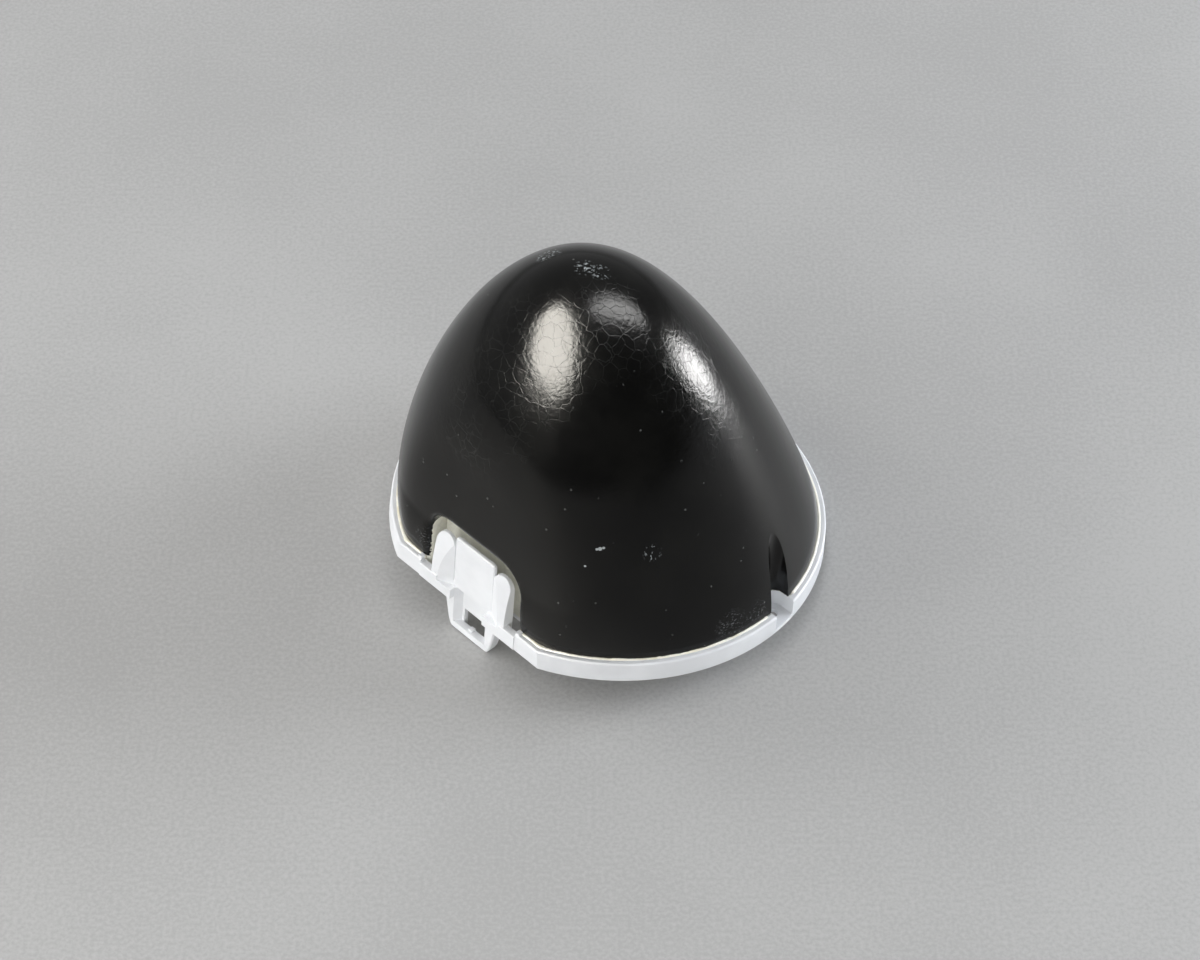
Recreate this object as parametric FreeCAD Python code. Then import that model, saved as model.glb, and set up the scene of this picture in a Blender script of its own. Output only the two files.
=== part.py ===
import FreeCAD, Part
import math
import os

# Nose of a foam model aircraft, in millimetres.
#
# Two pieces are glued together. The nose itself is a hollow moulding in bead foam: a blunt
# cone whose tip droops towards the flat underside. Its foot sits in an injection-moulded
# ring, which carries the latch bracket on its flat side and a screw cup at each flank.
#
# The shapes are drawn about the ring's axis, with the rear face at z = 0, the tip at +Z and
# the flat side at -Y. The finished pieces are then moved so that the origin is midway
# between the two screw holes.

V = FreeCAD.Vector

# Mounting ring
ring_radius = 65.0
ring_height = 6.3
ring_draft = 0.4
ring_wall = 2.3
flat_cut = 7.0
flat_wall = 1.8
flange_reach = 9.0
flange_thickness = 1.5
rim_bevel = 0.4

# Screw cups at the two flanks
screw_inset = 5.3
screw_y = 7.6
screw_hole_radius = 1.6
cup_radius = 4.2
cup_wall = 1.2
cup_floor = 1.2

# Foam nose
glue_gap = 0.3
nose_height = 109.0
nose_fullness = 1.32
tip_bluntness = 1.9
nose_bands = 25
tip_drop = 19.35
droop_bend = 0.545
facet_bulge = 1.1
facet_rise = 12.0
foam_wall = 12.5
foam_tip_wall = 16.0
hollow_steps = (0.0, 0.6, 1.0)

# Window in the foam round the latch bracket
window_half_width = 18.5
window_top = 28.2
window_corner = 9.0
window_round = 2.5
window_margin = 0.2
pocket_depth = 6.8

# Latch bracket: a plate between two rounded cheeks
plate_half_width = 8.0
plate_top = 23.0
plate_setback = 2.15
plate_thickness = 1.5
plate_corner = 1.2
plate_bevel = 0.4
cheek_half_width = 15.0
cheek_top = 21.6
cheek_land = 2.6
cheek_brow = 6.0
cheek_lean = 2.6
cheek_bow = 0.8
pad_half_width = 19.6
pad_height = 5.3
pad_proud = 0.4
pad_round = 0.35
ledge_top = 3.6
nub_width = 1.4
nub_depth = 1.5
nub_rise = 0.7

# Latch tongue: the looped tail that hangs below the rear face
tongue_length = 12.7
tongue_root_half_width = 12.6
tongue_neck_half_width = 10.2
tongue_neck_drop = 2.6
neck_bow = 0.7
tongue_waist_half_width = 8.7
tongue_waist_drop = 10.0
tongue_foot_half_width = 7.5
tongue_setback = 1.5
tongue_thickness = 3.8
rail_width = 2.0
rail_slant = 1.6
dish_depth = 2.3
slot_half_width = 4.25
slot_top_drop = 4.7
bar_height = 2.6
bar_thickness = 2.2
tongue_corner = 1.0
tongue_bevel = 0.4

# Places worked out from the sizes above
flat_distance = ring_radius - flat_cut
screw_x = ring_radius - screw_inset
foam_radius = ring_radius - ring_wall - glue_gap
facet_distance = flat_distance - flat_wall - glue_gap
nose_rise = nose_height - ring_height

# Cutters run far past what they cut, or a little past where something lies behind. Edges are
# picked by their place to within a near miss.
far = 2.0 * (ring_radius + nose_height)
past = 1.0
near = 0.1


def box(low, high):
    size = V(*high) - V(*low)
    return Part.makeBox(size.x, size.y, size.z, V(*low))


def mirrored(shape):
    """The shape and its copy on the other side of the X = 0 plane."""
    return [shape, shape.mirror(V(0, 0, 0), V(1, 0, 0))]


def wire(*pieces):
    """A closed wire from points and three-point arcs, given as [start, ..., (mid, end), ...]."""
    edges = []
    here = pieces[0]
    for piece in pieces[1:]:
        if isinstance(piece, tuple):
            edges.append(Part.Arc(here, piece[0], piece[1]).toShape())
            here = piece[1]
        else:
            edges.append(Part.LineSegment(here, piece).toShape())
            here = piece
    if here.distanceToPoint(pieces[0]) > 1e-6:
        edges.append(Part.LineSegment(here, pieces[0]).toShape())
    return Part.Wire(edges)


def prism(outline, direction):
    return Part.Face(outline).extrude(direction)


def rounded(shape, radius, wanted):
    """Fillet the edges for which wanted(edge) is true."""
    edges = [edge for edge in shape.Edges if wanted(edge)]
    return shape.makeFillet(radius, edges)


def share_of_rise(z):
    return max(0.0, z - ring_height) / nose_rise


def bevelled(shape, width, wanted):
    """Cut a flat bevel on the edges for which wanted(edge) is true."""
    edges = [edge for edge in shape.Edges if wanted(edge)]
    return shape.makeChamfer(width, edges)


def droop(z):
    """How far the centre line lies towards the flat side at height z."""
    share = share_of_rise(z)
    return tip_drop * share * (1.0 + droop_bend * (1.0 - share))


def body_radius(z):
    """The radius of the round body at height z."""
    return foam_radius * (1.0 - share_of_rise(z) ** nose_fullness) ** (1.0 / tip_bluntness)


def round_body():
    """Bands ruled between circles on the drooping centre line, closer together at the tip."""
    circles = []
    for band in range(nose_bands):
        z = ring_height + nose_rise * math.sin(0.5 * math.pi * band / nose_bands)
        circles.append(Part.Wire(Part.Circle(V(0, -droop(z), z), V(0, 0, 1), body_radius(z)).toShape()))
    tip = Part.Vertex(0, -droop(nose_height), nose_height)
    foot = Part.makeCylinder(foam_radius, ring_height - flange_thickness, V(0, 0, flange_thickness))
    return Part.makeLoft(circles + [tip], True, True).fuse(foot)


def beyond_facet():
    """All that lies outside the flat underside, which bulges a little above the ring."""
    face = facet_distance + facet_bulge
    radius = (facet_rise ** 2 + facet_bulge ** 2) / (2.0 * facet_bulge)
    half_rise = 0.5 * facet_rise
    sag = radius - math.sqrt(radius ** 2 - half_rise ** 2)
    side = wire(
        V(-far, -facet_distance, -past), V(-far, -facet_distance, ring_height),
        (V(-far, sag - face, ring_height + half_rise), V(-far, -face, ring_height + facet_rise)),
        V(-far, -face, far), V(-far, -far, far), V(-far, -far, -past))
    return prism(side, V(2.0 * far, 0, 0))


def hollow():
    """The moulding's core: cones about an axis that leans with the tip, flat on the underside."""
    top = nose_height - foam_tip_wall
    lean = math.atan2(droop(top), top - ring_height)
    axis = V(0, -math.sin(lean), math.cos(lean))
    root = V(0, 0, ring_height)
    places = []
    for step in hollow_steps:
        height = step * (top - ring_height)
        wall = foam_wall + step * (foam_tip_wall - foam_wall)
        places.append((height / math.cos(lean), body_radius(ring_height + height) - wall))
    core = Part.makeCylinder(places[0][1], foam_radius, root - axis * foam_radius, axis)
    for (low, low_radius), (high, high_radius) in zip(places, places[1:]):
        core = core.fuse(Part.makeCone(low_radius, high_radius, high - low, root + axis * low, axis))
    inner_flat = foam_wall - facet_distance
    return core.common(box((-far, inner_flat, -far), (far, far, far)))


def window_outline(margin, y, low):
    """An arch on two straight sides, larger all round by the margin."""
    half_width = window_half_width + margin
    top = window_top + margin
    corner = window_corner + margin
    side = top - corner
    bend = corner * (1.0 - math.sqrt(0.5))
    return wire(
        V(-half_width, y, low), V(-half_width, y, side),
        (V(-half_width + bend, y, top - bend), V(-half_width + corner, y, top)),
        V(half_width - corner, y, top),
        (V(half_width - bend, y, top - bend), V(half_width, y, side)),
        V(half_width, y, low))


def window(outside):
    """The pocket behind the window. Its mouth is rounded where it meets the flat underside."""
    pocket_back = facet_distance - pocket_depth
    pocket = prism(window_outline(0.0, -far, 0.0), V(0, far - pocket_back, 0))
    mouth = prism(window_outline(window_round + window_margin, -far, ring_height), V(0, far, 0))
    tool = pocket.fuse(mouth.common(outside))

    def is_rim(edge):
        bounds = edge.BoundBox
        across = max(-bounds.XMin, bounds.XMax) < window_half_width + near
        on_face = bounds.YMax < near - facet_distance and bounds.YMin > -far + near
        return across and on_face and ring_height - near < bounds.ZMin \
            and bounds.ZMax < window_top + near

    return rounded(tool, window_round, is_rim)


def screw_channel(radius, low, high):
    """A half-round channel about the screw's axis, open to the outside."""
    shape = Part.makeCylinder(radius, high - low, V(screw_x, screw_y, low))
    way_out = box((screw_x, screw_y - radius, low), (far, screw_y + radius, high))
    return shape.fuse(way_out)


def foam_nose():
    outside = beyond_facet()
    channel = screw_channel(cup_radius, flange_thickness, nose_height)
    seat = screw_channel(cup_radius + cup_wall + glue_gap, flange_thickness - past, ring_height)
    nose = round_body().cut(outside)
    return nose.cut([window(outside), hollow()] + mirrored(channel) + mirrored(seat))


def plain_ring():
    """The band and its inner flange, cut off by the flat side."""
    band = Part.makeCone(ring_radius, ring_radius - ring_draft, ring_height)
    band = band.common(box((-far, -flat_distance, 0), (far, far, ring_height)))
    band = bevelled(band, rim_bevel, lambda edge: edge.BoundBox.ZMin > ring_height - near)
    seat_y = -(flat_distance - flat_wall)
    seat = Part.makeCylinder(ring_radius - ring_wall, far, V(0, 0, flange_thickness))
    seat = seat.common(box((-far, seat_y, 0), (far, far, far)))
    bore_y = -(flat_distance - flange_reach)
    bore = Part.makeCylinder(ring_radius - flange_reach, far, V(0, 0, -past))
    bore = bore.common(box((-far, bore_y, -past), (far, far, far)))
    return band.cut([seat, bore])


def cups(ring):
    """Half-round screw cups, each a thin wall round a channel that opens outwards."""
    outside = Part.makeCone(ring_radius, ring_radius - ring_draft, ring_height)
    sleeve = Part.makeCylinder(cup_radius + cup_wall, ring_height, V(screw_x, screw_y, 0))
    sleeve = sleeve.common(outside)
    channel = screw_channel(cup_radius, cup_floor, far)
    hole = Part.makeCylinder(screw_hole_radius, far, V(screw_x, screw_y, -past))
    return ring.fuse(mirrored(sleeve)).cut(mirrored(channel) + mirrored(hole))


def cheeks():
    """Two rounded cheeks flush with the flat side, one at each edge of the plate."""
    front = -flat_distance
    back = -(flat_distance - plate_setback - plate_thickness)
    middle = 0.5 * (plate_half_width + cheek_half_width)
    radius = 0.5 * (cheek_half_width - plate_half_width)
    shoulder = cheek_top - radius
    face = wire(
        V(plate_half_width, front, 0), V(plate_half_width, front, shoulder),
        (V(middle, front, cheek_top), V(cheek_half_width, front, shoulder)),
        V(cheek_half_width, front, 0))
    cheek = prism(face, V(0, back - front, 0))
    side = wire(
        V(0, back, 0), V(0, front, 0), V(0, front, cheek_brow),
        (V(0, front + cheek_bow, 0.5 * (cheek_brow + cheek_top)), V(0, front + cheek_lean, cheek_top)),
        V(0, back, cheek_top))
    cheek = cheek.common(prism(side, V(far, 0, 0)))
    return mirrored(cheek)


def bracket():
    front = -flat_distance
    plate_front = front + plate_setback
    plate_back = plate_front + plate_thickness
    plate = box((-plate_half_width, plate_front, 0), (plate_half_width, plate_back, plate_top))
    plate = rounded(plate, plate_corner,
                    lambda edge: edge.BoundBox.ZMin > plate_top - near and edge.BoundBox.XLength < near)
    plate = bevelled(plate, plate_bevel,
                     lambda edge: edge.BoundBox.ZMin > plate_top - plate_corner - near
                     and edge.BoundBox.YLength < near)

    # The root block ties the plate, the cheeks and the tongue to the flat wall.
    root = box((-cheek_half_width, plate_front, 0), (cheek_half_width, plate_back, pad_height))
    pad = box((-pad_half_width, front - pad_proud, 0),
              (pad_half_width, front + flat_wall, pad_height))
    pad = rounded(pad, pad_round,
                  lambda edge: edge.BoundBox.YMax < front and edge.BoundBox.XLength > near)

    # Above a ledge, the cheeks' inner faces slant back to the plate.
    channel = flared_cut(plate_half_width, plate_front, cheek_half_width - cheek_land, front, ledge_top, far)
    return cheeks() + [plate, root, pad], channel


def flared_cut(foot, foot_y, mouth, mouth_y, low, high):
    """A cut as wide as its mouth from the outside in to mouth_y, narrowing to its foot at foot_y."""
    outline = wire(
        V(-foot, foot_y, low), V(foot, foot_y, low), V(mouth, mouth_y, low),
        V(mouth, -far, low), V(-mouth, -far, low), V(-mouth, mouth_y, low))
    return prism(outline, V(0, 0, high - low))


def tongue():
    front = -(flat_distance - tongue_setback)
    back = front + tongue_thickness
    waist = -tongue_waist_drop
    neck = -tongue_neck_drop
    bend_x = tongue_neck_half_width + neck_bow
    bend_z = neck_bow * neck / (tongue_root_half_width - tongue_neck_half_width)
    outline = wire(
        V(tongue_root_half_width, front, ledge_top),
        V(tongue_root_half_width, front, 0),
        (V(bend_x, front, bend_z), V(tongue_neck_half_width, front, neck)),
        V(tongue_waist_half_width, front, waist),
        V(tongue_foot_half_width, front, -tongue_length),
        V(-tongue_foot_half_width, front, -tongue_length),
        V(-tongue_waist_half_width, front, waist),
        V(-tongue_neck_half_width, front, neck),
        (V(-bend_x, front, bend_z), V(-tongue_root_half_width, front, 0)),
        V(-tongue_root_half_width, front, ledge_top))
    body = prism(outline, V(0, tongue_thickness, 0))
    body = rounded(body, tongue_corner,
                   lambda edge: edge.BoundBox.YLength > near and edge.BoundBox.ZMax < neck - near)
    body = bevelled(body, tongue_bevel,
                    lambda edge: edge.BoundBox.ZMax < near and edge.BoundBox.YLength < near)

    # Between the rails the tongue is dished on its front, and the slot goes right through.
    bar_top = bar_height - tongue_length
    dish_foot = tongue_waist_half_width - rail_width - rail_slant
    dish_mouth = tongue_waist_half_width - rail_width
    dish = flared_cut(dish_foot, front + dish_depth, dish_mouth, front, bar_top, ledge_top)
    slot = box((-slot_half_width, front - past, bar_top), (slot_half_width, back + past, -slot_top_drop))
    rebate = box((-slot_half_width, front + bar_thickness, -tongue_length - past),
                 (slot_half_width, back + past, bar_top))
    nub = box((-0.5 * nub_width, front + nub_rise, bar_top - past),
              (0.5 * nub_width, front + bar_thickness, bar_top + nub_rise))
    return body, [dish, slot, rebate], nub


def mounting_ring():
    ring = cups(plain_ring())

    # The band's top is lower beside the bracket, and the flange stops short of the pocket.
    pocket_back = -(facet_distance - pocket_depth)
    low_side = box((-pad_half_width, -far, pad_height), (pad_half_width, pocket_back, far))
    gap = box((-window_half_width, -(flat_distance - flat_wall), -past),
              (window_half_width, pocket_back, far))
    ring = ring.cut([low_side, gap])

    # A small nub marks each end of the low side.
    nub = box((pad_half_width, -flat_distance + rim_bevel, pad_height),
              (pad_half_width + nub_width, -flat_distance + rim_bevel + nub_depth, ring_height + nub_rise))

    solids, channel = bracket()
    latch, cuts, bar_nub = tongue()
    ring = ring.fuse(solids[0:2] + solids[3:] + mirrored(nub))
    ring = ring.cut(channel)
    ring = ring.fuse([solids[2], latch])
    return ring.cut(cuts).fuse(bar_nub)


def write(name, shape):
    shape = shape.removeSplitter()
    shape.translate(V(0, -screw_y, 0))
    bounds = shape.BoundBox
    print(name, "solids", len(shape.Solids), "valid", shape.isValid(),
          "volume", round(shape.Volume), "faces", len(shape.Faces))
    print("  x %.2f %.2f  y %.2f %.2f  z %.2f %.2f" % (
        bounds.XMin, bounds.XMax, bounds.YMin, bounds.YMax, bounds.ZMin, bounds.ZMax))
    shape.exportStep("parts/" + name + ".step")


os.makedirs("parts", exist_ok=True)
write("foam_nose", foam_nose())
write("mounting_ring", mounting_ring())
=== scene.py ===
import bmesh
import bpy
import math
from mathutils import Matrix, Vector, noise


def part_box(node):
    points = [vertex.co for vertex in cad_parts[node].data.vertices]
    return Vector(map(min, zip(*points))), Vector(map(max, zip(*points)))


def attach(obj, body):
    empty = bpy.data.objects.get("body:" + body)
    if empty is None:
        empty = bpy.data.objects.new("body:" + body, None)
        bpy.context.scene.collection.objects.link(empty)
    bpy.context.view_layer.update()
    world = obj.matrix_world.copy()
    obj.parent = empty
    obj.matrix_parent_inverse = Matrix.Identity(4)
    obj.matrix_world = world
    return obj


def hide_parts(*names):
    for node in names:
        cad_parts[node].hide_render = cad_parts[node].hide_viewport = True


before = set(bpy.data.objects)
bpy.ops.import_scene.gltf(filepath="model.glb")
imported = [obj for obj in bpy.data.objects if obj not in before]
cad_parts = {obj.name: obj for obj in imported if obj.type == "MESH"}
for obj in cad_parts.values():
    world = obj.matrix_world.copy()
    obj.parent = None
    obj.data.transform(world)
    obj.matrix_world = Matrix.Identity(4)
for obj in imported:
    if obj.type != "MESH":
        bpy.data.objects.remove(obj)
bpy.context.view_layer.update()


# The mounting ring is one injection moulding in white plastic: a band with an inner flange,
# a screw cup at each flank, and the latch bracket with its slotted tongue on the flat side.
# The nose is glued into it.
mm = 0.001
ring_low, ring_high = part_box("mounting_ring")
ring_radius = ring_high.x
ring_axis_y = ring_high.y - ring_radius
ring_top = 6.3 * mm
edge_softness = 0.22 * mm
edge_segments = 3
edge_from = math.radians(25)
weld_reach = 0.001 * mm
flat_within = math.radians(0.6)

plastic_white = (0.775, 0.79, 0.815, 1.0)
plastic_shade = (0.72, 0.735, 0.76, 1.0)
plastic_specular = 0.25
plastic_roughness = (0.44, 0.54)
plastic_scatter = 0.35
scatter_depth = 1.0 * mm


def node(tree, kind, values=None, **settings):
    """A shader node with its settings, and its input values by name."""
    made = tree.nodes.new(kind)
    for name, value in settings.items():
        setattr(made, name, value)
    for name, value in (values or {}).items():
        made.inputs[name].default_value = value
    return made


def grain_group():
    """Fine and broad unevenness of a moulded or painted surface, in metres."""
    group = bpy.data.node_groups.new("surface_grain", "ShaderNodeTree")
    face = group.interface
    face.new_socket("Grain Size", in_out="INPUT", socket_type="NodeSocketFloat").default_value = 0.4 * mm
    face.new_socket("Patch Size", in_out="INPUT", socket_type="NodeSocketFloat").default_value = 12 * mm
    face.new_socket("Grain", in_out="OUTPUT", socket_type="NodeSocketFloat")
    face.new_socket("Patches", in_out="OUTPUT", socket_type="NodeSocketFloat")
    start = node(group, "NodeGroupInput")
    end = node(group, "NodeGroupOutput")
    place = node(group, "ShaderNodeTexCoord")
    for size, output, detail in (("Grain Size", "Grain", 3.0), ("Patch Size", "Patches", 4.0)):
        scale = node(group, "ShaderNodeMath", operation="DIVIDE")
        scale.inputs[0].default_value = 1.0
        cloud = node(group, "ShaderNodeTexNoise", {"Detail": detail, "Roughness": 0.55})
        group.links.new(start.outputs[size], scale.inputs[1])
        group.links.new(place.outputs["Object"], cloud.inputs["Vector"])
        group.links.new(scale.outputs[0], cloud.inputs["Scale"])
        group.links.new(cloud.outputs["Fac"], end.inputs[output])
    return group


surface_grain = grain_group()


def use_group(tree, group, **values):
    """The group placed in a material, with its inputs by name, underscores for spaces."""
    made = node(tree, "ShaderNodeGroup", node_tree=group)
    for name, value in values.items():
        made.inputs[name.replace("_", " ")].default_value = value
    return made


def new_material(name):
    """A material with an empty Principled shader, as (material, its tree, the shader)."""
    material = bpy.data.materials.new(name)
    material.use_nodes = True
    return material, material.node_tree, material.node_tree.nodes["Principled BSDF"]


def mixed_colour(tree, factor, low, high):
    """A colour between two others, as a socket."""
    mix = node(tree, "ShaderNodeMix", data_type="RGBA")
    for socket, value in (("A_Color", low), ("B_Color", high)):
        slot = next(s for s in mix.inputs if s.identifier == socket)
        if hasattr(value, "is_output"):
            tree.links.new(value, slot)
        else:
            slot.default_value = value
    tree.links.new(factor, next(s for s in mix.inputs if s.identifier == "Factor_Float"))
    return next(s for s in mix.outputs if s.identifier == "Result_Color")


def mapped(tree, value, from_low, from_high, to_low, to_high):
    """A value carried softly from one range to another, and kept inside it."""
    made = node(tree, "ShaderNodeMapRange", clamp=True)
    made.interpolation_type = "SMOOTHSTEP"
    for socket, number in zip(made.inputs[1:5], (from_low, from_high, to_low, to_high)):
        socket.default_value = number
    tree.links.new(value, made.inputs["Value"])
    return made.outputs["Result"]


def white_plastic():
    """Plain moulded plastic that lets a little light through at its edges."""
    material, tree, shader = new_material("white_plastic")
    grain = use_group(tree, surface_grain, Grain_Size=0.35 * mm, Patch_Size=14 * mm)
    colour = mixed_colour(tree, mapped(tree, grain.outputs["Patches"], 0.35, 0.65, 0.0, 1.0),
                          plastic_shade, plastic_white)
    tree.links.new(colour, shader.inputs["Base Color"])
    tree.links.new(mapped(tree, grain.outputs["Patches"], 0.3, 0.7, *plastic_roughness),
                   shader.inputs["Roughness"])
    shader.inputs["Specular IOR Level"].default_value = plastic_specular
    shader.inputs["Subsurface Weight"].default_value = plastic_scatter
    shader.inputs["Subsurface Radius"].default_value = (1.0, 1.0, 1.0)
    shader.inputs["Subsurface Scale"].default_value = scatter_depth
    bump = node(tree, "ShaderNodeBump", {"Strength": 0.12, "Distance": 0.05 * mm})
    tree.links.new(grain.outputs["Grain"], bump.inputs["Height"])
    tree.links.new(bump.outputs["Normal"], shader.inputs["Normal"])
    return material


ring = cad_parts["mounting_ring"]
ring.data.materials.clear()
ring.data.materials.append(white_plastic())
weld = ring.modifiers.new("weld", "WELD")
weld.merge_threshold = weld_reach
flatten = ring.modifiers.new("flatten", "DECIMATE")
flatten.decimate_type = "DISSOLVE"
flatten.angle_limit = flat_within
soften = ring.modifiers.new("soften", "BEVEL")
soften.width = edge_softness
soften.segments = edge_segments
soften.limit_method = "ANGLE"
soften.angle_limit = edge_from
soften.use_clamp_overlap = True


# The nose is one hollow moulding in bead foam, painted black outside. Its wall is bare in the
# window round the latch, on the foot and inside. A half-round groove leaves room over each
# screw, and the underside is flattened.
nose_low, nose_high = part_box("foam_nose")
nose_radius = nose_high.x
nose_foot = nose_low.z
nose_tip = nose_high.z
nose_rise = nose_tip - ring_top
nose_fullness = 1.32
tip_bluntness = 1.9
tip_drop = 19.35 * mm
droop_bend = 0.545
facet_distance = 55.9 * mm
facet_bulge = 1.1 * mm
facet_rise = 12 * mm
facet_sharpness = 26.0
foot_sharpness = 70.0
foot_softness = 16 * mm
nose_rows = 130
nose_columns = 300

window_half_width = 18.5 * mm
window_bottom = -8 * mm
window_top = 26.2 * mm
window_corner = 8.5 * mm
window_round = 2.5 * mm
brow_round = 4.5 * mm
corner_steps = 12
flare_steps = 8
mouth_margin = 1.2
mouth_reach = 6 * mm
mouth_gap = 0.12 * mm
pocket_depth = 6.8 * mm
screw_x = 59.7 * mm
screw_y = 0.0
groove_radius = 4.2 * mm
groove_steps = 32
groove_reach = 30 * mm
seat_radius = 5.7 * mm
foam_wall = 12.5 * mm
foam_tip_wall = 16 * mm
hollow_steps = (0.0, 0.6, 1.0)
hollow_start = -60 * mm
hollow_columns = 96
smooth_below = math.radians(32)

paint_black = (0.0015, 0.0015, 0.0013, 1.0)
paint_worn = (0.0036, 0.0036, 0.0031, 1.0)
crack_dust = (0.030, 0.031, 0.030, 1.0)
scuff_grey = (0.33, 0.36, 0.37, 1.0)
scratch_grey = (0.10, 0.105, 0.11, 1.0)
dust_grey = (0.11, 0.115, 0.11, 1.0)
foam_cream = (0.84, 0.83, 0.74, 1.0)
foam_shade = (0.66, 0.66, 0.60, 1.0)
foam_roughness = 0.75
paint_specular = 0.21
paint_roughness = (0.15, 0.21)
dull_roughness = 0.45
seam_strength = 0.45
crack_strength = 0.5
crinkle_height = 0.105 * mm
crinkle_elsewhere = 0.12
crazing_depth = 0.016 * mm
fine_crack_depth = 0.35
pit_depth = 1.6
ragged_width = 1.6 * mm
bare_fade = (0.3 * mm, 0.9 * mm)
foot_fade = (-0.15 * mm, 0.2 * mm)
mouth_fade = (-0.5 * mm, -0.2 * mm)
place_core = 0.3

# Crazed patches, scuffs, flecks, pits and dusty scratches, each as its place and reach on the
# surface in millimetres.
crazed_places = (((4, -50, 93), 27), ((31, -14, 86), 24), ((16, -32, 102), 21), ((-4, -63, 68), 26),
                 ((41, -12, 70), 19))
scuff_places = (((-14.0, -27.6, 104.4), 5.0), ((-0.2, -27.8, 108.9), 3.6), ((3.4, -25.8, 108.6), 3.6),
                ((46.8, -42.0, 44.6), 3.2))
fleck_places = (((36.9, -54.1, 46.7), 0.8), ((37.6, -53.6, 46.9), 1.0), ((38.4, -53.0, 47.3), 0.8),
                ((35.8, -57.0, 41.0), 0.6))
pit_places = (((11.2, -53.9, 87.2), 3.6), ((40.2, 26.6, 31.0), 4.2), ((28.2, -22.8, 91.1), 2.4))
dusty_places = (((61.6, -10.5, 10.5), 6.0), ((60.8, -20.5, 11.5), 7.0), ((61.0, -18.0, 7.0), 6.0),
                ((-19.5, -63.0, 14.0), 6.0))


def share_of_rise(z):
    """How far up from the ring to the tip the height z is, from 0 to 1."""
    return min(1.0, max(0.0, z - ring_top) / nose_rise)


def droop(z):
    """How far the centre line lies towards the flat side at height z."""
    share = share_of_rise(z)
    return tip_drop * share * (1.0 + droop_bend * (1.0 - share))


def body_radius(z):
    """The radius of the round body at height z."""
    return nose_radius * (1.0 - share_of_rise(z) ** nose_fullness) ** (1.0 / tip_bluntness)


def facet_y(z):
    """Where the flat underside lies at height z, from the ring's axis."""
    radius = (facet_rise ** 2 + facet_bulge ** 2) / (2.0 * facet_bulge)
    below_top = max(0.0, min(facet_rise, ring_top + facet_rise - z))
    return facet_distance + facet_bulge - (radius - math.sqrt(radius ** 2 - below_top ** 2))


def nose_reach(turn, z):
    """The surface's distance from the centre line, turning from the flat side."""
    radius = body_radius(z)
    towards = max(math.cos(turn), 0.0) / (facet_y(z) - droop(z))
    rise = min(1.0, max(0.0, z - ring_top) / foot_softness)
    sharpness = foot_sharpness + (facet_sharpness - foot_sharpness) * rise
    return (radius ** -sharpness + towards ** sharpness) ** (-1.0 / sharpness)


def nose_section(z):
    """The outline at height z: a circle whose flat side is a facet with soft corners."""
    points = []
    for column in range(nose_columns):
        turn = 2.0 * math.pi * column / nose_columns
        reach = nose_reach(turn, z)
        points.append(Vector((reach * math.sin(turn), ring_axis_y - droop(z) - reach * math.cos(turn), z)))
    return points


def stacked(name, rows, tip=None):
    """A closed mesh through rows of points, ending flat or at a tip."""
    mesh = bmesh.new()
    rings = [[mesh.verts.new(point) for point in row] for row in rows]
    for low, high in zip(rings, rings[1:]):
        for here in range(len(low)):
            after = (here + 1) % len(low)
            mesh.faces.new((low[here], low[after], high[after], high[here]))
    mesh.faces.new(list(reversed(rings[0])))
    if tip is None:
        mesh.faces.new(rings[-1])
    else:
        top = mesh.verts.new(tip)
        for here in range(len(rings[-1])):
            mesh.faces.new((rings[-1][here], rings[-1][(here + 1) % len(rings[-1])], top))
    bmesh.ops.recalc_face_normals(mesh, faces=mesh.faces)
    data = bpy.data.meshes.new(name)
    mesh.to_mesh(data)
    mesh.free()
    made = bpy.data.objects.new(name, data)
    bpy.context.scene.collection.objects.link(made)
    return made


def nose_form():
    """The solid nose, from a straight foot inside the ring up to the tip."""
    heights = [ring_top + nose_rise * math.sin(0.5 * math.pi * row / nose_rows) for row in range(nose_rows)]
    foot = nose_section(ring_top)
    for point in foot:
        point.z = nose_foot
    tip = Vector((0, ring_axis_y - tip_drop, nose_tip))
    return stacked("foam_shell", [foot] + [nose_section(z) for z in heights], tip)


def window_cutter():
    """The pocket behind the window, with a mouth that flares to the outside, most at its brow."""
    inside = facet_y(ring_top) - pocket_depth
    corner_start = int((window_top - window_corner) / mm)
    side_heights = [window_bottom] + [z * mm for z in range(2, corner_start + 1)]
    arch = [(-window_half_width, z, -1.0, 0.0) for z in side_heights]
    for corner in range(corner_steps + 1):
        turn = math.pi - 0.5 * math.pi * corner / corner_steps
        arch.append((-window_half_width + window_corner * (1.0 + math.cos(turn)),
                     window_top - window_corner * (1.0 - math.sin(turn)), math.cos(turn), math.sin(turn)))
    arch += [(-x, z, -aside, up) for x, z, aside, up in reversed(arch)]

    # Two rows stand clear of the surface, and the flare turns inwards from there.
    flares = [(mouth_margin, -mouth_reach), (mouth_margin, -mouth_gap)]
    for step in range(flare_steps + 1):
        turn = 0.5 * math.pi * step / flare_steps
        flares.append((1.0 - math.sin(turn), 1.0 - math.cos(turn)))
    rows = []
    for margin, depth in flares + [(0.0, None)]:
        row = []
        for x, z, aside, up in arch:
            round_here = window_round + (brow_round - window_round) * up
            x_here = x + aside * margin * round_here
            z_here = z + up * margin * round_here
            surface = facet_y(max(z_here, ring_top))
            out = inside if depth is None else surface - (depth if depth < 0 else depth * round_here)
            row.append(Vector((x_here, ring_axis_y - out, z_here)))
        rows.append(row)
    return stacked("window_cutter", rows), (len(flares) - 1) * len(arch)


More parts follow.
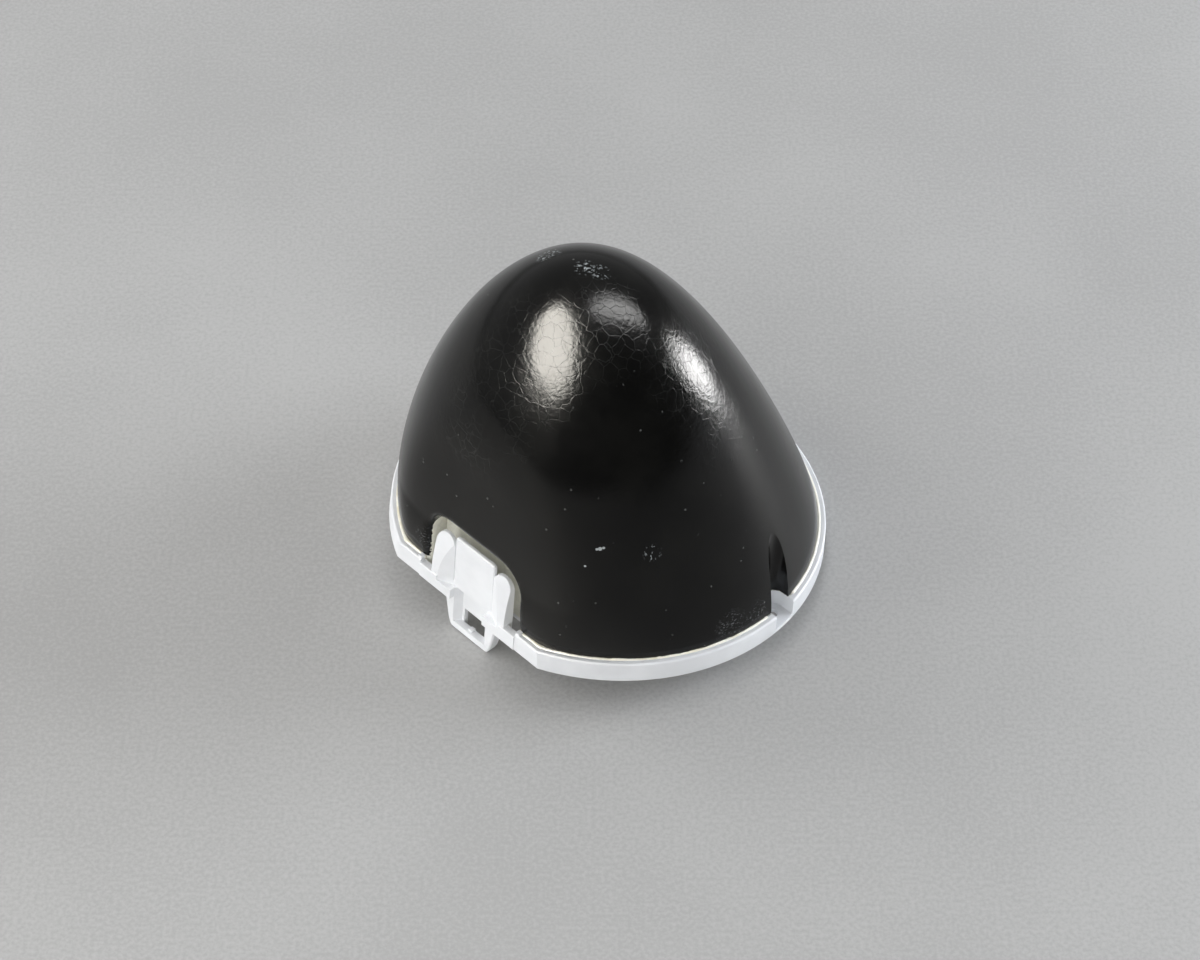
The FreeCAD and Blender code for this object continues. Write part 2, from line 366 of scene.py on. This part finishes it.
def groove_cutter(side, radius, low, high):
    """A half-round channel about a screw, open to the outside."""
    outline = [(1.0, -1.0)]
    for step in range(groove_steps + 1):
        turn = math.pi * step / groove_steps
        outline.append((-math.sin(turn), -math.cos(turn)))
    outline.append((1.0, 1.0))
    rows = []
    for z in (low, high):
        row = []
        for across, along in outline:
            out = radius * across if across <= 0 else groove_reach
            row.append(Vector((side * (screw_x + out), screw_y + radius * along, z)))
        rows.append(row)
    return stacked("groove_cutter", rows)


def hollow_cutter():
    """The moulding's core: cones about an axis that leans with the tip."""
    top = nose_tip - foam_tip_wall
    lean = math.atan2(droop(top), top - ring_top)
    spin = Matrix.Translation((0, ring_axis_y, ring_top)) @ Matrix.Rotation(lean, 4, "X")
    places = [(hollow_start, body_radius(ring_top) - foam_wall)]
    for step in hollow_steps:
        height = step * (top - ring_top)
        wall = foam_wall + step * (foam_tip_wall - foam_wall)
        places.append((height / math.cos(lean), body_radius(ring_top + height) - wall))
    inner_flat = ring_axis_y + foam_wall - facet_distance
    rows = []
    for height, radius in places:
        row = []
        for column in range(hollow_columns):
            turn = 2.0 * math.pi * column / hollow_columns
            point = spin @ Vector((radius * math.sin(turn), -radius * math.cos(turn), height))
            point.y = max(point.y, inner_flat)
            row.append(point)
        rows.append(row)
    return stacked("hollow_cutter", rows)


def cut(target, cutter, material, mouth_material=None, mouth_faces=0):
    """Takes the cutter's form out of the target; the new faces get the cutter's materials."""
    cutter.data.materials.append(material)
    if mouth_material:
        cutter.data.materials.append(mouth_material)
        for face in cutter.data.polygons[:mouth_faces]:
            face.material_index = 1
    step = target.modifiers.new("cut", "BOOLEAN")
    step.operation = "DIFFERENCE"
    step.solver = "EXACT"
    step.material_mode = "TRANSFER"
    step.object = cutter
    graph = bpy.context.evaluated_depsgraph_get()
    result = bpy.data.meshes.new_from_object(target.evaluated_get(graph), depsgraph=graph)
    target.modifiers.remove(step)
    target.data = result
    bpy.data.objects.remove(cutter)


def bead_group():
    """The beads that the foam is made of: thin cracks between wandering cells, and their domes."""
    group = bpy.data.node_groups.new("foam_beads", "ShaderNodeTree")
    face = group.interface
    for name, value in (("Bead Size", 3 * mm), ("Crack Width", 0.06), ("Wander", 1.3 * mm)):
        face.new_socket(name, in_out="INPUT", socket_type="NodeSocketFloat").default_value = value
    for name in ("Cracks", "Domes"):
        face.new_socket(name, in_out="OUTPUT", socket_type="NodeSocketFloat")
    start = node(group, "NodeGroupInput")
    end = node(group, "NodeGroupOutput")
    place = node(group, "ShaderNodeTexCoord")
    wander = node(group, "ShaderNodeTexNoise", {"Scale": 480.0, "Detail": 2.5})
    group.links.new(place.outputs["Object"], wander.inputs["Vector"])
    centred = node(group, "ShaderNodeVectorMath", operation="SUBTRACT")
    centred.inputs[1].default_value = (0.5, 0.5, 0.5)
    group.links.new(wander.outputs["Color"], centred.inputs[0])
    scaled = node(group, "ShaderNodeVectorMath", operation="SCALE")
    group.links.new(centred.outputs[0], scaled.inputs[0])
    group.links.new(start.outputs["Wander"], scaled.inputs["Scale"])
    moved = node(group, "ShaderNodeVectorMath", operation="ADD")
    group.links.new(scaled.outputs[0], moved.inputs[0])
    group.links.new(place.outputs["Object"], moved.inputs[1])
    scale = node(group, "ShaderNodeMath", operation="DIVIDE")
    scale.inputs[0].default_value = 1.0
    group.links.new(start.outputs["Bead Size"], scale.inputs[1])
    edges = node(group, "ShaderNodeTexVoronoi", feature="DISTANCE_TO_EDGE")
    group.links.new(moved.outputs[0], edges.inputs["Vector"])
    group.links.new(scale.outputs[0], edges.inputs["Scale"])
    thin = node(group, "ShaderNodeMapRange", {"To Min": 1.0, "To Max": 0.0}, clamp=True)
    thin.interpolation_type = "SMOOTHSTEP"
    group.links.new(edges.outputs["Distance"], thin.inputs["Value"])
    group.links.new(start.outputs["Crack Width"], thin.inputs["From Max"])
    group.links.new(thin.outputs["Result"], end.inputs["Cracks"])
    dome = node(group, "ShaderNodeMapRange", {"From Max": 0.35}, clamp=True)
    dome.interpolation_type = "SMOOTHSTEP"
    group.links.new(edges.outputs["Distance"], dome.inputs["Value"])
    group.links.new(dome.outputs["Result"], end.inputs["Domes"])
    return group


foam_beads = bead_group()


def arithmetic(tree, operation, first, second):
    """Two sockets or numbers joined by a Math node, as a socket."""
    made = node(tree, "ShaderNodeMath", operation=operation)
    for socket, value in zip(made.inputs, (first, second)):
        if hasattr(value, "is_output"):
            tree.links.new(value, socket)
        else:
            socket.default_value = value
    return made.outputs[0]


def bare_foam():
    """Unpainted bead foam, off-white with darker seams between the beads."""
    material, tree, shader = new_material("bare_foam")
    beads = use_group(tree, foam_beads, Bead_Size=2.6 * mm, Crack_Width=0.09)
    grain = use_group(tree, surface_grain, Grain_Size=0.5 * mm, Patch_Size=9 * mm)
    colour = mixed_colour(tree, grain.outputs["Patches"], foam_shade, foam_cream)
    seams = arithmetic(tree, "MULTIPLY", beads.outputs["Cracks"], seam_strength)
    colour = mixed_colour(tree, seams, colour, foam_shade)
    tree.links.new(colour, shader.inputs["Base Color"])
    shader.inputs["Roughness"].default_value = foam_roughness
    height = arithmetic(tree, "ADD", beads.outputs["Domes"],
                        arithmetic(tree, "MULTIPLY", grain.outputs["Grain"], 0.4))
    bump = node(tree, "ShaderNodeBump", {"Strength": 0.6, "Distance": 0.25 * mm})
    tree.links.new(height, bump.inputs["Height"])
    tree.links.new(bump.outputs["Normal"], shader.inputs["Normal"])
    return material


def near_places(tree, position, places):
    """A mask that is 1 at each of the places and falls to 0 at its reach."""
    total = None
    for centre, reach in places:
        away = node(tree, "ShaderNodeVectorMath", operation="DISTANCE")
        away.inputs[1].default_value = [c * mm for c in centre]
        tree.links.new(position, away.inputs[0])
        here = mapped(tree, away.outputs["Value"], place_core * reach * mm, reach * mm, 1.0, 0.0)
        total = here if total is None else arithmetic(tree, "MAXIMUM", total, here)
    return total


def stretched_noise(tree, position, stretch, scale):
    """Noise drawn out along an axis, as scuffs and scratches are."""
    squeezed = node(tree, "ShaderNodeVectorMath", operation="MULTIPLY")
    squeezed.inputs[1].default_value = stretch
    tree.links.new(position, squeezed.inputs[0])
    drawn = node(tree, "ShaderNodeTexNoise", {"Scale": scale, "Detail": 3.0})
    tree.links.new(squeezed.outputs[0], drawn.inputs["Vector"])
    return drawn.outputs["Fac"]


def black_paint():
    """Satin black paint over the beads, crazed near the tip, scuffed and dusty in places."""
    material, tree, shader = new_material("black_paint")
    position = node(tree, "ShaderNodeTexCoord").outputs["Object"]
    parts = node(tree, "ShaderNodeSeparateXYZ")
    tree.links.new(position, parts.inputs["Vector"])
    beads = use_group(tree, foam_beads, Bead_Size=3.5 * mm, Crack_Width=0.035, Wander=1.5 * mm)
    fine_beads = use_group(tree, foam_beads, Bead_Size=1.9 * mm, Crack_Width=0.05, Wander=1.0 * mm)
    grain = use_group(tree, surface_grain, Grain_Size=1.25 * mm, Patch_Size=16 * mm)
    speckle = use_group(tree, surface_grain, Grain_Size=0.42 * mm, Patch_Size=3 * mm)

    # The crazing shows in patches on the upper half and fades towards the ring.
    patchy = mapped(tree, grain.outputs["Patches"], 0.36, 0.58, 0.35, 1.0)
    crazing = arithmetic(tree, "MULTIPLY", near_places(tree, position, crazed_places), patchy)
    cracks = arithmetic(tree, "MULTIPLY", beads.outputs["Cracks"], crazing)
    fine_cracks = arithmetic(tree, "MULTIPLY", fine_beads.outputs["Cracks"], crazing)

    # Scuffs and scratches are light and broken up, pits are small dents, and dust lies in specks.
    flecks = stretched_noise(tree, position, stretch=(1.0, 1.0, 0.45), scale=1500.0)
    flecks = mapped(tree, flecks, 0.55, 0.60, 0.0, 1.0)
    broken = mapped(tree, speckle.outputs["Patches"], 0.40, 0.50, 0.0, 1.0)
    scuffs = arithmetic(tree, "MULTIPLY", near_places(tree, position, scuff_places),
                        arithmetic(tree, "MULTIPLY", flecks, broken))
    fleck_core = mapped(tree, near_places(tree, position, fleck_places), 0.5, 0.8, 0.0, 1.0)
    scuffs = arithmetic(tree, "MAXIMUM", scuffs, fleck_core)
    pits = arithmetic(tree, "MULTIPLY", near_places(tree, position, pit_places),
                      mapped(tree, speckle.outputs["Grain"], 0.40, 0.46, 1.0, 0.0))
    streaks = stretched_noise(tree, position, stretch=(0.6, 0.6, 1.3), scale=1900.0)
    scratches = arithmetic(tree, "MULTIPLY", near_places(tree, position, dusty_places),
                           mapped(tree, streaks, 0.56, 0.66, 0.0, 0.8))
    dust_cells = node(tree, "ShaderNodeTexVoronoi", {"Scale": 210.0})
    tree.links.new(position, dust_cells.inputs["Vector"])
    dust = arithmetic(tree, "MULTIPLY", mapped(tree, dust_cells.outputs["Distance"], 0.04, 0.10, 0.8, 0.0),
                      mapped(tree, speckle.outputs["Patches"], 0.5, 0.6, 0.0, 1.0))

    # The paint ends ragged on the foot and inside the window's mouth.
    ragged = arithmetic(tree, "MULTIPLY", arithmetic(tree, "SUBTRACT", grain.outputs["Grain"], 0.5),
                        ragged_width)
    foot = mapped(tree, arithmetic(tree, "SUBTRACT", parts.outputs["Z"], ragged),
                  ring_top + foot_fade[0], ring_top + foot_fade[1], 1.0, 0.0)
    flare_end = mapped(tree, parts.outputs["Z"], window_top - window_corner, window_top,
                       ring_axis_y - facet_y(nose_tip) + window_round,
                       ring_axis_y - facet_y(nose_tip) + brow_round)
    inward = arithmetic(tree, "SUBTRACT", arithmetic(tree, "ADD", parts.outputs["Y"], ragged), flare_end)
    inner = mapped(tree, inward, *mouth_fade, 0.0, 1.0)
    beside = mapped(tree, arithmetic(tree, "ABSOLUTE", parts.outputs["X"], 0.0),
                    window_half_width + bare_fade[0], window_half_width + bare_fade[1], 1.0, 0.0)
    under = mapped(tree, parts.outputs["Z"], window_top + bare_fade[0], window_top + bare_fade[1], 1.0, 0.0)
    front_half = mapped(tree, parts.outputs["Y"], -mm, 0.0, 1.0, 0.0)
    inner = arithmetic(tree, "MULTIPLY", inner, arithmetic(tree, "MULTIPLY", beside, under))
    inner = arithmetic(tree, "MULTIPLY", inner, front_half)
    bare = arithmetic(tree, "MAXIMUM", foot, inner)

    colour = mixed_colour(tree, mapped(tree, grain.outputs["Patches"], 0.4, 0.7, 0.0, 1.0),
                          paint_black, paint_worn)
    colour = mixed_colour(tree, arithmetic(tree, "MULTIPLY", cracks, crack_strength), colour, crack_dust)
    colour = mixed_colour(tree, dust, colour, dust_grey)
    colour = mixed_colour(tree, scratches, colour, scratch_grey)
    colour = mixed_colour(tree, scuffs, colour, scuff_grey)
    colour = mixed_colour(tree, bare, colour, foam_cream)
    tree.links.new(colour, shader.inputs["Base Color"])

    gloss = mapped(tree, grain.outputs["Patches"], 0.3, 0.7, *paint_roughness)
    dull = arithmetic(tree, "MAXIMUM", arithmetic(tree, "MAXIMUM", bare, scuffs),
                      arithmetic(tree, "MULTIPLY", scratches, 0.5))
    tree.links.new(arithmetic(tree, "ADD", gloss, arithmetic(tree, "MULTIPLY", dull, dull_roughness)),
                   shader.inputs["Roughness"])
    shader.inputs["Specular IOR Level"].default_value = paint_specular

    # The paint crinkles where it is crazed, and each crack and pit is a dent in it.
    crinkles = node(tree, "ShaderNodeBump", {"Strength": 1.0, "Distance": crinkle_height})
    extra = arithmetic(tree, "MULTIPLY", crazing, 1.0 - crinkle_elsewhere)
    crinkling = arithmetic(tree, "ADD", crinkle_elsewhere, extra)
    tree.links.new(arithmetic(tree, "MULTIPLY", grain.outputs["Grain"], crinkling),
                   crinkles.inputs["Height"])
    relief = arithmetic(tree, "ADD", cracks, arithmetic(tree, "MULTIPLY", fine_cracks, fine_crack_depth))
    relief = arithmetic(tree, "ADD", relief, arithmetic(tree, "MULTIPLY", pits, pit_depth))
    crazed = node(tree, "ShaderNodeBump", {"Strength": 1.0, "Distance": crazing_depth}, invert=True)
    tree.links.new(relief, crazed.inputs["Height"])
    tree.links.new(crinkles.outputs["Normal"], crazed.inputs["Normal"])
    tree.links.new(crazed.outputs["Normal"], shader.inputs["Normal"])
    return material


foam_paint = black_paint()
foam_bare = bare_foam()
foam_shell = nose_form()
foam_shell.data.materials.append(foam_paint)
mouth_cutter, flared_faces = window_cutter()
cut(foam_shell, mouth_cutter, foam_bare, foam_paint, flared_faces)
for side in (1, -1):
    cut(foam_shell, groove_cutter(side, groove_radius, nose_foot - mm, nose_tip), foam_paint)
    cut(foam_shell, groove_cutter(side, seat_radius, nose_foot - mm, ring_top), foam_bare)
cut(foam_shell, hollow_cutter(), foam_bare)
for face in foam_shell.data.polygons:
    face.use_smooth = True
foam_shell.data.set_sharp_from_angle(angle=smooth_below)
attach(foam_shell, "root")
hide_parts("foam_nose")


# The glue line is what was squeezed out between the foam and the ring. It is a thin uneven bead,
# cream with yellowish stretches, and it stops at the window and at the screw cups. Its spans are
# turns from the flat side in degrees.
ring_inner_radius = 62.7 * mm
ring_inner_flat = 56.2 * mm
glue_step = math.radians(0.8)
glue_spans = ((19.2, 91.2), (102.8, 257.2), (268.8, 340.8))
glue_depth = 1.2 * mm
glue_climb = 0.30 * mm
glue_spread = 0.35 * mm
glue_bite = 0.15 * mm
glue_edge = 0.04 * mm
glue_crown = 0.6
lump_pitch = 14.0
ripple_pitch = 55.0
ripple_share = 0.6
glue_cream = (0.90, 0.885, 0.80, 1.0)
glue_yellow = (0.74, 0.69, 0.54, 1.0)


def set_glue():
    """Glue that has set, cream with yellowish stretches."""
    material, tree, shader = new_material("dried_glue")
    grain = use_group(tree, surface_grain, Grain_Size=0.8 * mm, Patch_Size=11 * mm)
    colour = mixed_colour(tree, mapped(tree, grain.outputs["Patches"], 0.48, 0.66, 0.0, 1.0),
                          glue_cream, glue_yellow)
    tree.links.new(colour, shader.inputs["Base Color"])
    tree.links.new(mapped(tree, grain.outputs["Grain"], 0.3, 0.7, 0.35, 0.6), shader.inputs["Roughness"])
    bump = node(tree, "ShaderNodeBump", {"Strength": 0.5, "Distance": 0.12 * mm})
    tree.links.new(grain.outputs["Grain"], bump.inputs["Height"])
    tree.links.new(bump.outputs["Normal"], shader.inputs["Normal"])
    return material


def glue_bead():
    """The bead's cross-section carried round each span, with a top that rises and falls."""
    mesh = bmesh.new()
    for start, end in glue_spans:
        first = math.radians(start)
        last = math.radians(end)
        steps = int((last - first) / glue_step)
        sections = []
        for step in range(steps + 1):
            turn = first + (last - first) * step / steps
            along = Vector((math.sin(turn), -math.cos(turn), 0))
            inner = nose_reach(turn, ring_top) - glue_bite
            outer = min(ring_inner_radius, ring_inner_flat / max(math.cos(turn), 0.01)) + glue_spread
            ripple = ripple_share * noise.noise(along * ripple_pitch)
            climb = glue_climb * (1.0 + noise.noise(along * lump_pitch) + ripple)
            corners = ((inner, ring_top + climb), (0.5 * (inner + outer), ring_top + glue_crown * climb),
                       (outer, ring_top + glue_edge), (outer, ring_top - glue_depth),
                       (inner, ring_top - glue_depth))
            centre = Vector((0, ring_axis_y, 0))
            sections.append([mesh.verts.new(centre + along * reach + Vector((0, 0, z)))
                             for reach, z in corners])
        for low, high in zip(sections, sections[1:]):
            for here in range(len(low)):
                after = (here + 1) % len(low)
                mesh.faces.new((low[here], low[after], high[after], high[here]))
        mesh.faces.new(sections[0])
        mesh.faces.new(list(reversed(sections[-1])))
    bmesh.ops.recalc_face_normals(mesh, faces=mesh.faces)
    data = bpy.data.meshes.new("glue_line")
    mesh.to_mesh(data)
    mesh.free()
    for face in data.polygons:
        face.use_smooth = True
    made = bpy.data.objects.new("glue_line", data)
    bpy.context.scene.collection.objects.link(made)
    return made


glue_line = glue_bead()
glue_line.data.materials.append(set_glue())
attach(glue_line, "root")


# The table is a sheet of grey paper with a fine tooth. The part leans on its tongue and on the
# far side of the ring, so the table is tilted in the part's own frame.
tongue_y = -60.3 * mm
rest_lean = math.atan2(-ring_low.z, ring_high.y - tongue_y)
photo_lean = math.radians(6.0)
photo_turn = math.radians(45.0)
photo_shift = Vector((-2.05 * mm, 21.2 * mm, 0.0))
paper_grey = (0.435, 0.435, 0.435, 1.0)
paper_dark = (0.365, 0.365, 0.365, 1.0)
paper_size = 12.0
paper_roughness = 0.55
paper_specular = 0.25


def table_frame(lean):
    """Carries table coordinates, with the photo's camera over -Y, into the part's frame."""
    return (Matrix.Translation((0, ring_high.y, 0)) @ Matrix.Rotation(lean, 4, "X")
            @ Matrix.Translation((0, -ring_radius, 0)) @ Matrix.Rotation(photo_turn, 4, "Z")
            @ Matrix.Translation(photo_shift))


def grey_paper():
    """Matt grey paper that is not seen from its underside."""
    material, tree, shader = new_material("grey_paper")
    grain = use_group(tree, surface_grain, Grain_Size=1.2 * mm, Patch_Size=120 * mm)
    tone = arithmetic(tree, "ADD", arithmetic(tree, "MULTIPLY", grain.outputs["Grain"], 0.6),
                      arithmetic(tree, "MULTIPLY", grain.outputs["Patches"], 0.4))
    colour = mixed_colour(tree, mapped(tree, tone, 0.35, 0.65, 0.0, 1.0), paper_dark, paper_grey)
    tree.links.new(colour, shader.inputs["Base Color"])
    shader.inputs["Roughness"].default_value = paper_roughness
    shader.inputs["Specular IOR Level"].default_value = paper_specular
    clear = node(tree, "ShaderNodeBsdfTransparent")
    side = node(tree, "ShaderNodeNewGeometry")
    both = node(tree, "ShaderNodeMixShader")
    tree.links.new(side.outputs["Backfacing"], both.inputs["Fac"])
    tree.links.new(shader.outputs["BSDF"], both.inputs[1])
    tree.links.new(clear.outputs["BSDF"], both.inputs[2])
    tree.links.new(both.outputs["Shader"], tree.nodes["Material Output"].inputs["Surface"])
    return material


sheet = bmesh.new()
bmesh.ops.create_grid(sheet, x_segments=1, y_segments=1, size=paper_size)
paper_mesh = bpy.data.meshes.new("table")
sheet.to_mesh(paper_mesh)
sheet.free()
table = bpy.data.objects.new("table", paper_mesh)
bpy.context.scene.collection.objects.link(table)
table.data.materials.append(grey_paper())
table.matrix_world = table_frame(rest_lean)


# The camera is a long lens that looks down on the table from over the flat side's right end. Its
# distance and height were fitted to the outline of the ring and the foam.
camera_distance = 0.913
camera_height = math.radians(48.6)
camera_lens = 90.0
view_centre = table_frame(photo_lean)
camera_tilt = Matrix.Rotation(math.radians(90) - camera_height, 4, "X")
camera_place = camera_tilt @ Matrix.Translation((0, 0, camera_distance))
camera_data = bpy.data.cameras.new("camera")
camera_data.lens = camera_lens
camera_data.sensor_width = 36.0
camera_data.clip_start = 0.05
camera_data.clip_end = 50.0
camera = bpy.data.objects.new("camera", camera_data)
bpy.context.scene.collection.objects.link(camera)
camera.matrix_world = view_centre @ camera_place
bpy.context.scene.camera = camera


# The studio has three soft boxes that only the gloss mirrors, which make the bright patches on
# the paint. Wide fills stand all round, strongest on the right, and light the plastic and paper.
warm_white = (1.0, 0.965, 0.88)
cool_white = (0.92, 0.96, 1.0)
plain_white = (1.0, 0.995, 0.985)
light_centre = Vector((0, 0, 60 * mm))
fill_width = 34
fill_distance = 1.2


def towards(azimuth, elevation):
    """A direction from the nose in degrees, turning from the camera's side to the right."""
    turn = math.radians(azimuth)
    rise = math.radians(elevation)
    return Vector((math.sin(turn) * math.cos(rise), -math.cos(turn) * math.cos(rise), math.sin(rise)))


def soft_box(name, ends, width, distance, radiance, tint, mirrored_only):
    """A soft light that reaches from one direction to another, width degrees across."""
    first = towards(*ends[0])
    second = towards(*ends[1])
    out = (first + second).normalized()
    along = (second - first).normalized()
    half_angle = 0.5 * first.angle(second)
    data = bpy.data.lights.new(name, "AREA")
    data.shape = "ELLIPSE" if mirrored_only else "RECTANGLE"
    data.size = 2.0 * distance * math.tan(half_angle)
    data.size_y = 2.0 * distance * math.tan(math.radians(0.5 * width))
    data.energy = radiance * math.pi * data.size * data.size_y
    data.color = tint
    lamp = bpy.data.objects.new(name, data)
    bpy.context.scene.collection.objects.link(lamp)
    turned = Matrix((along, out.cross(along), out)).transposed().to_4x4()
    turned.translation = light_centre + out * distance
    lamp.matrix_world = view_centre @ turned
    lamp.visible_diffuse = not mirrored_only
    lamp.visible_glossy = mirrored_only
    lamp.visible_camera = False


soft_box("left_box", ends=((-87, 56), (-19, 29)), width=39, distance=1.1, radiance=33.0,
         tint=warm_white, mirrored_only=True)
soft_box("upper_strip", ends=((40, 75), (101, 29)), width=17, distance=1.1, radiance=14.0,
         tint=plain_white, mirrored_only=True)
soft_box("right_box", ends=((92, 10), (110, -4)), width=15, distance=0.5, radiance=26.0,
         tint=plain_white, mirrored_only=True)

# Each fill has its side, azimuth, elevation and height in degrees, radiance and tint.
fill_lights = (("front_left", -60, 14, 26, 3.5, plain_white), ("front", 0, 11, 19, 4.5, plain_white),
               ("right", 100, 16, 28, 10.2, cool_white), ("left", -105, 20, 34, 3.7, plain_white),
               ("back_left", -140, 40, 34, 1.5, plain_white), ("back", 180, 60, 34, 2.1, plain_white))
for name, azimuth, elevation, tall, radiance, tint in fill_lights:
    ends = ((azimuth - 0.5 * fill_width, elevation), (azimuth + 0.5 * fill_width, elevation))
    soft_box(name + "_fill", ends, width=tall, distance=fill_distance, radiance=radiance,
             tint=tint, mirrored_only=False)

# The room is brighter behind the nose on the left than on the camera's side.
room_bright = 0.50
room_dark = 0.10
room_blend = 0.9
bright_side = (view_centre.to_3x3() @ towards(-130, 30)).normalized()
world = bpy.data.worlds.new("studio")
bpy.context.scene.world = world
world.use_nodes = True
studio = world.node_tree
backdrop = studio.nodes["Background"]
place = node(studio, "ShaderNodeTexCoord")
facing = node(studio, "ShaderNodeVectorMath", operation="DOT_PRODUCT")
facing.inputs[1].default_value = bright_side
studio.links.new(place.outputs["Generated"], facing.inputs[0])
shade = mixed_colour(studio, mapped(studio, facing.outputs["Value"], -room_blend, room_blend, 0.0, 1.0),
                     (room_dark, room_dark, room_dark, 1.0), (room_bright, room_bright, room_bright, 1.0))
studio.links.new(shade, backdrop.inputs["Color"])
backdrop.inputs["Strength"].default_value = 1.0

bpy.context.scene.view_settings.view_transform = "Standard"
